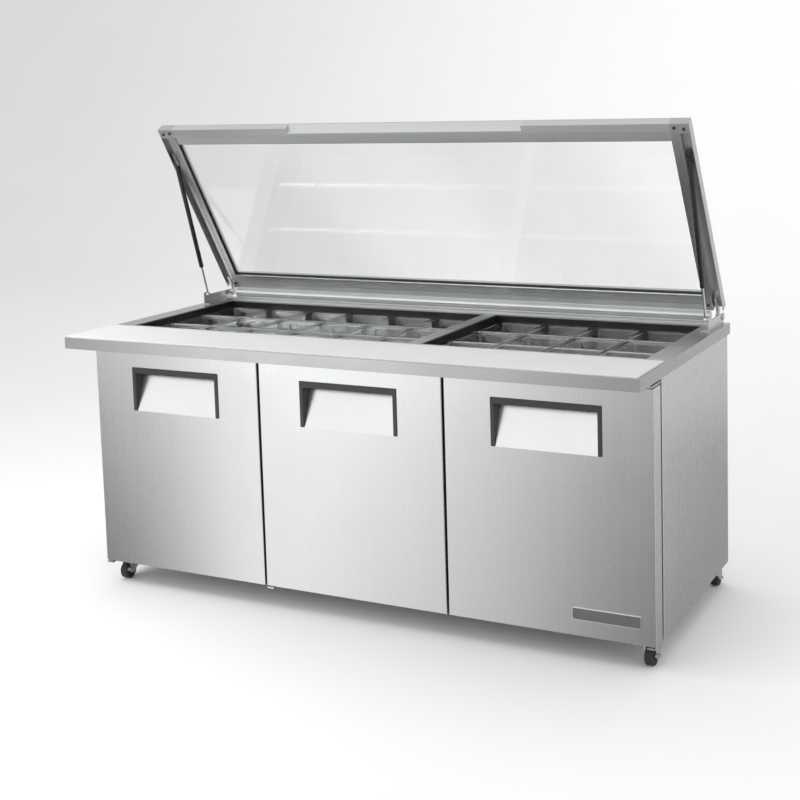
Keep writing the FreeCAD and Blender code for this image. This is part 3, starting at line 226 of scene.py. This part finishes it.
MATERIALS = {
    # Sheet steel and aluminium
    "stainless": metal("steel_brushed_upright", 0.62, 0.28, UPRIGHT_GRAIN, 1100.0, contrast=0.025,
                       smudge=0.02, bump=0.013, wear=0.12),
    "stainless_long": metal("steel_brushed_long", 0.62, 0.3, LONG_GRAIN, 1100.0, contrast=0.03,
                            smudge=0.03, bump=0.03),
    # The worktop: the long-grain steel with its tone lowered from 0.62 to 0.42, as painted shade
    "stainless_painted_shade": metal("steel_brushed_painted_shade", 0.42, 0.3, LONG_GRAIN, 1100.0, contrast=0.03,
                           smudge=0.03, bump=0.03),
    "lid_aluminium": metal("aluminium_satin", 0.66, 0.36, (0.01, 1, 1), 800.0, contrast=0.05),
    "lid_aluminium_deep": metal("aluminium_satin_deep", 0.54, 0.36, (1, 0.02, 0.02), 800.0, contrast=0.05),
    "galvanised": metal("galvanised_sheet", 0.48, 0.46, scale=34.0, contrast=0.16, smudge=0.06, bump=0.06,
                        wear=0.15),
    "coil": metal("coil_fins", 0.55, 0.42, (1, 1, 0.02), 500.0, contrast=0.12),
    # Fittings
    "zinc_steel": metal("zinc_plated", 0.60, 0.30, scale=140.0, contrast=0.10, smudge=0.06, edge=0.0005,
                        bump=0.10, wear=0.3, tint=(1.0, 1.0, 1.03)),
    "plate_rim": fine_steel("plate_rim_bright", 0.78, 0.22, (0.02, 1, 1)),
    "rod_chrome": fine_steel("rod_polished", 0.75, 0.12, (1, 1, 0.05)),
    # Enamel, plastic and rubber
    "shelf_wire": moulded("epoxy_wire", (0.62, 0.63, 0.64), 0.38, 500.0, bump=0.1),
    "black_steel": moulded("black_enamel", (0.014, 0.014, 0.015), 0.28, 260.0, bump=0.08, mottle=0.05,
                           scuff=0.25, lift=6.0),
    "black_screw": moulded("black_oxide", (0.016, 0.016, 0.017), 0.34, bump=0.2, edge=0.0003,
                           mottle=0.05, scuff=0.4, lift=8.0),
    "grip_gray": moulded("grip_grey_plastic", (0.032, 0.033, 0.035), 0.42, 1200.0, bump=0.25,
                         edge=0.0008, mottle=0.05, scuff=0.25, lift=2.2),
    "gasket": moulded("gasket_dark", (0.03, 0.03, 0.031), 0.62, 700.0, bump=0.2),
    "seal_black": moulded("seal_black", (0.012, 0.012, 0.012), 0.5, 700.0, bump=0.2),
    "well_black": moulded("well_black", (0.011, 0.011, 0.012), 0.33, 420.0, bump=0.12, edge=0.001,
                          mottle=0.05, scuff=0.2, lift=4.0),
    "liner": moulded("liner_white", (0.72, 0.73, 0.73), 0.4, 260.0, bump=0.06),
    "wheel_rubber": moulded("wheel_rubber", (0.02, 0.02, 0.021), 0.58, 500.0, bump=0.3, edge=0.0008,
                            mottle=0.1, scuff=0.45, lift=4.5),
    "plate_dark": moulded("plate_charcoal", (0.12, 0.12, 0.125), 0.4, 700.0, bump=0.1),
    "white_board": cutting_board_finish(),
    # Clear
    # The lid glass carries slanting bands of painted highlight
    "lid_glass": clear("tempered_glass", (0.992, 1.0, 0.996), 0.03, 1.5, highlight_turn=(0.0, 0.5, 0.0)),
    "clear_pan": clear("clear_polycarbonate", (0.95, 0.96, 0.965), 0.09, 1.56, density=0.1, bump=0.08,
                       scale=90.0),
}
SLOT_OF = {entry["node"]: entry["material_slot"] for entry in frame["record"]["subparts"]}
OTHER_FINISH = {        # nodes whose grain, shine or tone differs from the rest of their slot; the worktop's darker steel is painted shade
    "worktop": "stainless_painted_shade",
    "front_frame": "stainless_long",
    "pan_bars": "stainless_long",
    "lid_side_rails": "lid_aluminium_deep",
    "strut_rod_left": "rod_chrome",
    "strut_rod_right": "rod_chrome",
}


def dress(thing, finish_name):
    thing.data.materials.clear()
    thing.data.materials.append(MATERIALS[finish_name])


for node_name, node in frame["nodes"].items():
    dress(node, OTHER_FINISH.get(node_name, SLOT_OF[node_name]))


# ---------------------------------------------------------------- Mesh pieces

SMOOTH_BELOW = math.radians(35)


def rounded_ring(half_x, half_y, radius, steps=5):
    """Points round a rectangle with rounded corners, about the origin, anticlockwise."""
    points = []
    for quarter, (sx, sy) in enumerate(((1, 1), (-1, 1), (-1, -1), (1, -1))):
        cx, cy = sx * (half_x - radius), sy * (half_y - radius)
        for step in range(steps + 1):
            angle = math.radians(90 * quarter + 90 * step / steps)
            points.append((cx + radius * math.cos(angle), cy + radius * math.sin(angle)))
    return points


def loft(rings):
    """Quads between rings of points, with both ends closed."""
    count = len(rings[0])
    verts = [point for ring in rings for point in ring]
    faces = []
    for level in range(len(rings) - 1):
        for index in range(count):
            following = (index + 1) % count
            a, b = level * count, (level + 1) * count
            faces.append((a + index, a + following, b + following, b + index))
    faces.append(tuple(reversed(range(count))))
    faces.append(tuple(range((len(rings) - 1) * count, len(rings) * count)))
    return verts, faces


def moved(chunk, matrix):
    verts, faces = chunk
    return [matrix @ Vector(point) for point in verts], faces


def new_object(name, verts, faces):
    """An object in the scene, from points in metres."""
    mesh = bpy.data.meshes.new(name)
    mesh.from_pydata(verts, [], faces)
    mesh.validate()
    made = bpy.data.objects.new(name, mesh)
    bpy.context.scene.collection.objects.link(made)
    return made


def piece(name, chunks, finish_name, body, stands_for=()):
    """One smooth mesh from several (verts, faces) chunks in millimetres, riding on a body."""
    verts, faces = [], []
    for chunk_verts, chunk_faces in chunks:
        start = len(verts)
        verts += [Vector(point) * MM for point in chunk_verts]
        faces += [tuple(start + index for index in face) for face in chunk_faces]
    made = new_object(name, verts, faces)
    made.data.shade_smooth()
    made.data.set_sharp_from_angle(angle=SMOOTH_BELOW)
    dress(made, finish_name)
    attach(made, body)
    if stands_for:
        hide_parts(*stands_for)


# Pans: a rolled rim, rounded corners, a tapering wall and a raised base edge
PAN_PROFILE = [        # half width, half depth, corner radius, drop below the top of the rim
    (57.0, 63.5, 12.0, 100.0), (62.5, 69.0, 14.0, 98.5), (64.4, 70.9, 15.0, 93.0), (70.4, 76.9, 11.0, 6.0),
    (71.4, 77.9, 11.0, 3.0), (80.0, 86.5, 8.0, 2.8), (80.9, 87.4, 8.5, 2.2), (80.9, 87.4, 8.5, 0.9),
    (80.2, 86.7, 8.0, 0.1), (72.0, 78.5, 11.0, 0.0), (69.6, 76.1, 10.5, 0.8), (68.4, 74.9, 10.0, 3.0),
    (67.9, 74.4, 10.0, 8.0), (62.6, 69.1, 14.0, 90.0), (61.2, 67.7, 14.0, 95.0), (57.0, 63.5, 12.0, 97.0),
]
PAN_PITCH = (163.0, 176.0)
RIM_TOP = 798.0
PAN_COLUMNS = {"left": 6, "right": 4}
PAN_ROWS = (-1, 0, 1)


def pan_grid(side, columns):
    """All the pans of one opening, three rows deep, in place of their node."""
    low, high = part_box(f"pans_{side}")
    centre = (low + high) / 2 / MM
    one_pan = loft([[(x, y, -drop) for x, y in rounded_ring(half_x, half_y, radius)]
                    for half_x, half_y, radius, drop in PAN_PROFILE])
    chunks = []
    for row in PAN_ROWS:
        for column in range(columns):
            spot = Vector((centre.x + (column - (columns - 1) / 2) * PAN_PITCH[0],
                           centre.y + row * PAN_PITCH[1], RIM_TOP))
            chunks.append(moved(one_pan, Matrix.Translation(spot)))
    piece(f"clear_pans_{side}", chunks, "clear_pan", "cabinet", stands_for=(f"pans_{side}",))


for side, columns in PAN_COLUMNS.items():
    pan_grid(side, columns)


def nameplate():
    """A bright rim round a plain charcoal field, in place of the plate's node."""
    low, high = (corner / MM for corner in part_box("nameplate"))
    centre, half = (low + high) / 2, (high - low) / 2
    face, back = low.y, high.y

    def plate_rings(profile):
        """Rings in the plane of the door, from rows of inset, corner radius and level in Y."""
        return [[(centre.x + x, level, centre.z + z)
                 for x, z in rounded_ring(half.x - inset, half.z - inset, radius)]
                for inset, radius, level in profile]

    rim = [(0.0, 4.0, back), (0.0, 4.0, face + 0.8), (0.7, 3.5, face), (1.9, 2.6, face),
           (2.6, 2.0, face + 0.9), (2.6, 2.0, back - 0.4)]
    field = [(2.4, 2.2, back - 0.2), (2.4, 2.2, face + 1.3), (3.2, 1.8, face + 1.1)]
    piece("nameplate_rim", [loft(plate_rings(rim))], "plate_rim", "door_right",
          stands_for=("nameplate",))
    piece("nameplate_field", [loft(plate_rings(field))], "plate_dark", "door_right")


nameplate()


# ---------------------------------------------------------------- Floor, light and camera

FLOOR_FRONT, FLOOR_SIDE, WALL_TOP = -9.0, 12.0, 9.0
BEND_START, BEND_RADIUS, BEND_STEPS = 5.4, 2.5, 12


def backdrop():
    """A floor that sweeps up into a wall behind the table."""
    profile = [(FLOOR_FRONT, 0.0), (BEND_START, 0.0)]
    for step in range(1, BEND_STEPS + 1):
        angle = math.radians(90 * step / BEND_STEPS)
        profile.append((BEND_START + BEND_RADIUS * math.sin(angle), BEND_RADIUS * (1 - math.cos(angle))))
    profile.append((BEND_START + BEND_RADIUS, WALL_TOP))
    verts = [(x, y, z) for x in (-FLOOR_SIDE, FLOOR_SIDE) for y, z in profile]
    count = len(profile)
    faces = [(index, count + index, count + index + 1, index + 1) for index in range(count - 1)]
    sweep = new_object("studio_sweep", verts, faces)
    sweep.data.shade_smooth()
    paper = Finish("studio_paper")
    cloud = paper.noise(1.2, 3.0, 0.5)
    fibre = paper.noise(500.0, 2.0, 0.5)
    paper.set(Base_Color=paper.mix(cloud, grey(0.80), grey(0.83)), Roughness=0.9)
    paper.relief(fibre, 0.05, STIPPLE_DEPTH)
    sweep.data.materials.append(paper.material)


def softbox(name, spot, target, size, power, shines=False):
    """A rectangular light; shiny faces reflect it only if shines is set."""
    data = bpy.data.lights.new(name, "AREA")
    data.shape = "RECTANGLE"
    data.size, data.size_y = size
    data.energy = power
    lamp = bpy.data.objects.new(name, data)
    lamp.location = spot
    lamp.visible_camera = False
    lamp.visible_glossy = shines
    lamp.rotation_euler = (Vector(target) - Vector(spot)).to_track_quat("-Z", "Y").to_euler()
    bpy.context.scene.collection.objects.link(lamp)


def between(table, at):
    """Read a table of (position, value) rows, straight between them."""
    for (start, first), (end, second) in zip(table, table[1:]):
        if at <= end:
            return first + (second - first) * max(0.0, (at - start) / (end - start))
    return table[-1][1]


def glow_material(name):
    """Light as strong as the mesh's glow attribute says."""
    material = bpy.data.materials.new(name)
    material.use_nodes = True
    tree = material.node_tree
    tree.nodes.clear()
    emitter = tree.nodes.new("ShaderNodeEmission")
    level = tree.nodes.new("ShaderNodeAttribute")
    level.attribute_name = "glow"
    output = tree.nodes.new("ShaderNodeOutputMaterial")
    tree.links.new(level.outputs["Fac"], emitter.inputs["Strength"])
    tree.links.new(emitter.outputs["Emission"], output.inputs["Surface"])
    return material


CARD_TOP = 1.25        # how high up the face its reflection reaches
CARD_LIFT = 0.004
CARD_COLUMNS, CARD_ROWS = 48, 24


def reflector(name, spot_on_face, eye, across, tones, height_tones):
    """A glowing card on the floor that only shiny surfaces see, shaded as its reflection should look.

    eye is the camera, mirrored in the upright face. spot_on_face turns a place across the face and a
    height into a point. tones and height_tones give the light across the face and up it.
    """
    verts, levels = [], []
    for row in range(CARD_ROWS + 1):
        z = CARD_TOP * row / CARD_ROWS
        for column in range(CARD_COLUMNS + 1):
            u = across[0] + (across[1] - across[0]) * column / CARD_COLUMNS
            on_floor = eye + (spot_on_face(u, z) - eye) * eye.z / (eye.z - z)
            verts.append((on_floor.x, on_floor.y, CARD_LIFT))
            levels.append(between(tones, u) * between(height_tones, z))
    stride = CARD_COLUMNS + 1
    starts = [row * stride + column for row in range(CARD_ROWS) for column in range(CARD_COLUMNS)]
    card = new_object(name, verts, [(at, at + 1, at + stride + 1, at + stride) for at in starts])
    glow = card.data.attributes.new("glow", "FLOAT", "POINT")
    glow.data.foreach_set("value", levels)
    card.data.materials.append(glow_material(name))
    card.visible_camera = card.visible_diffuse = card.visible_shadow = False
    card.visible_transmission = card.visible_volume_scatter = False


CAMERA_SPOT = Vector((1.9864, -3.6145, 1.5416))
YAW, PITCH, ROLL = (math.radians(angle) for angle in (26.178, 6.22, -1.462))
SENSOR, FOCAL = 36.0, 61.413
SHIFT = (-0.0688, -0.2)
WORLD_LIGHT = 0.85

# Name, spot, target, size and power
LIGHTS = [
    ("key_soft", (-3.0, -3.8, 2.1), (0, 0, 0.7), (3.2, 2.4), 26),
    ("top", (0.2, 0.2, 4.2), (0, 0, 0.6), (4.0, 3.0), 50),
    ("fill", (4.4, -1.2, 2.6), (0, 0, 0.5), (2.5, 3.0), 30),
    ("wall_wash", (0, 4.6, 4.8), (0, 7.9, 1.6), (8.0, 1.0), 90),
    ("board_glow", (-1.6, -1.0, 1.75), (-0.8, -0.35, 0.8), (0.8, 0.8), 15),
]

# The doors' reflection: a bright patch left of the middle, dim to the right
DOOR_TONES = [(-2.6, 0.30), (-1.1, 0.34), (-0.85, 0.42), (-0.6, 0.9), (-0.35, 1.55), (-0.1, 1.45),
              (0.2, 1.2), (0.5, 0.9), (0.7, 0.6), (0.95, 0.35), (2.4, 0.3)]
DOOR_HEIGHT_TONES = [(0.0, 0.8), (0.4, 0.95), (0.7, 1.08), (0.77, 1.1), (0.79, 1.6), (1.25, 1.6)]

# The side wall's reflection: dim low down, bright under the worktop, dim again on the apron
SIDE_TONES = [(-0.5, 1.0), (1.4, 1.1)]
SIDE_HEIGHT_TONES = [(0.0, 0.39), (0.6, 0.39), (0.72, 0.9), (0.77, 1.1), (0.79, 0.5), (1.25, 0.6)]


def light_the_studio():
    softbox("key", (-2.4, -4.2, 2.3), (0, 0, 0.7), (5.2, 3.2), 34, shines=True)
    for light in LIGHTS:
        softbox(*light)
    door_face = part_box("door_panel_left")[0].y
    side_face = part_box("side_wall_right")[1].x
    in_doors = Vector((CAMERA_SPOT.x, 2 * door_face - CAMERA_SPOT.y, CAMERA_SPOT.z))
    in_side = Vector((2 * side_face - CAMERA_SPOT.x, CAMERA_SPOT.y, CAMERA_SPOT.z))
    reflector("front_card", lambda x, z: Vector((x, door_face, z)), in_doors, (-2.6, 2.4),
              DOOR_TONES, DOOR_HEIGHT_TONES)
    reflector("side_card", lambda y, z: Vector((side_face, y, z)), in_side, (-0.5, 1.4),
              SIDE_TONES, SIDE_HEIGHT_TONES)
    world = bpy.data.worlds.new("studio")
    world.use_nodes = True
    sky = world.node_tree.nodes["Background"].inputs
    sky["Color"].default_value = (1, 1, 1, 1)
    sky["Strength"].default_value = WORLD_LIGHT
    bpy.context.scene.world = world
    bpy.context.scene.view_settings.view_transform = "Standard"


def place_camera():
    """Turn by yaw, then down by pitch, then about the line of sight by roll."""
    lens = bpy.data.cameras.new("photo_view")
    lens.sensor_width, lens.lens = SENSOR, FOCAL
    lens.shift_x, lens.shift_y = SHIFT
    camera = bpy.data.objects.new("photo_view", lens)
    ahead = Vector((-math.sin(YAW), math.cos(YAW), 0))
    right = Vector((math.cos(YAW), math.sin(YAW), 0))
    up = Vector((0, 0, 1))
    aim = math.cos(PITCH) * ahead - math.sin(PITCH) * up
    above = math.cos(PITCH) * up + math.sin(PITCH) * ahead
    camera_x = math.cos(ROLL) * right + math.sin(ROLL) * above
    camera_y = math.cos(ROLL) * above - math.sin(ROLL) * right
    turn = Matrix((camera_x, camera_y, -aim)).transposed().to_4x4()
    camera.matrix_world = Matrix.Translation(CAMERA_SPOT) @ turn
    bpy.context.scene.collection.objects.link(camera)
    bpy.context.scene.camera = camera


backdrop()
light_the_studio()
place_camera()
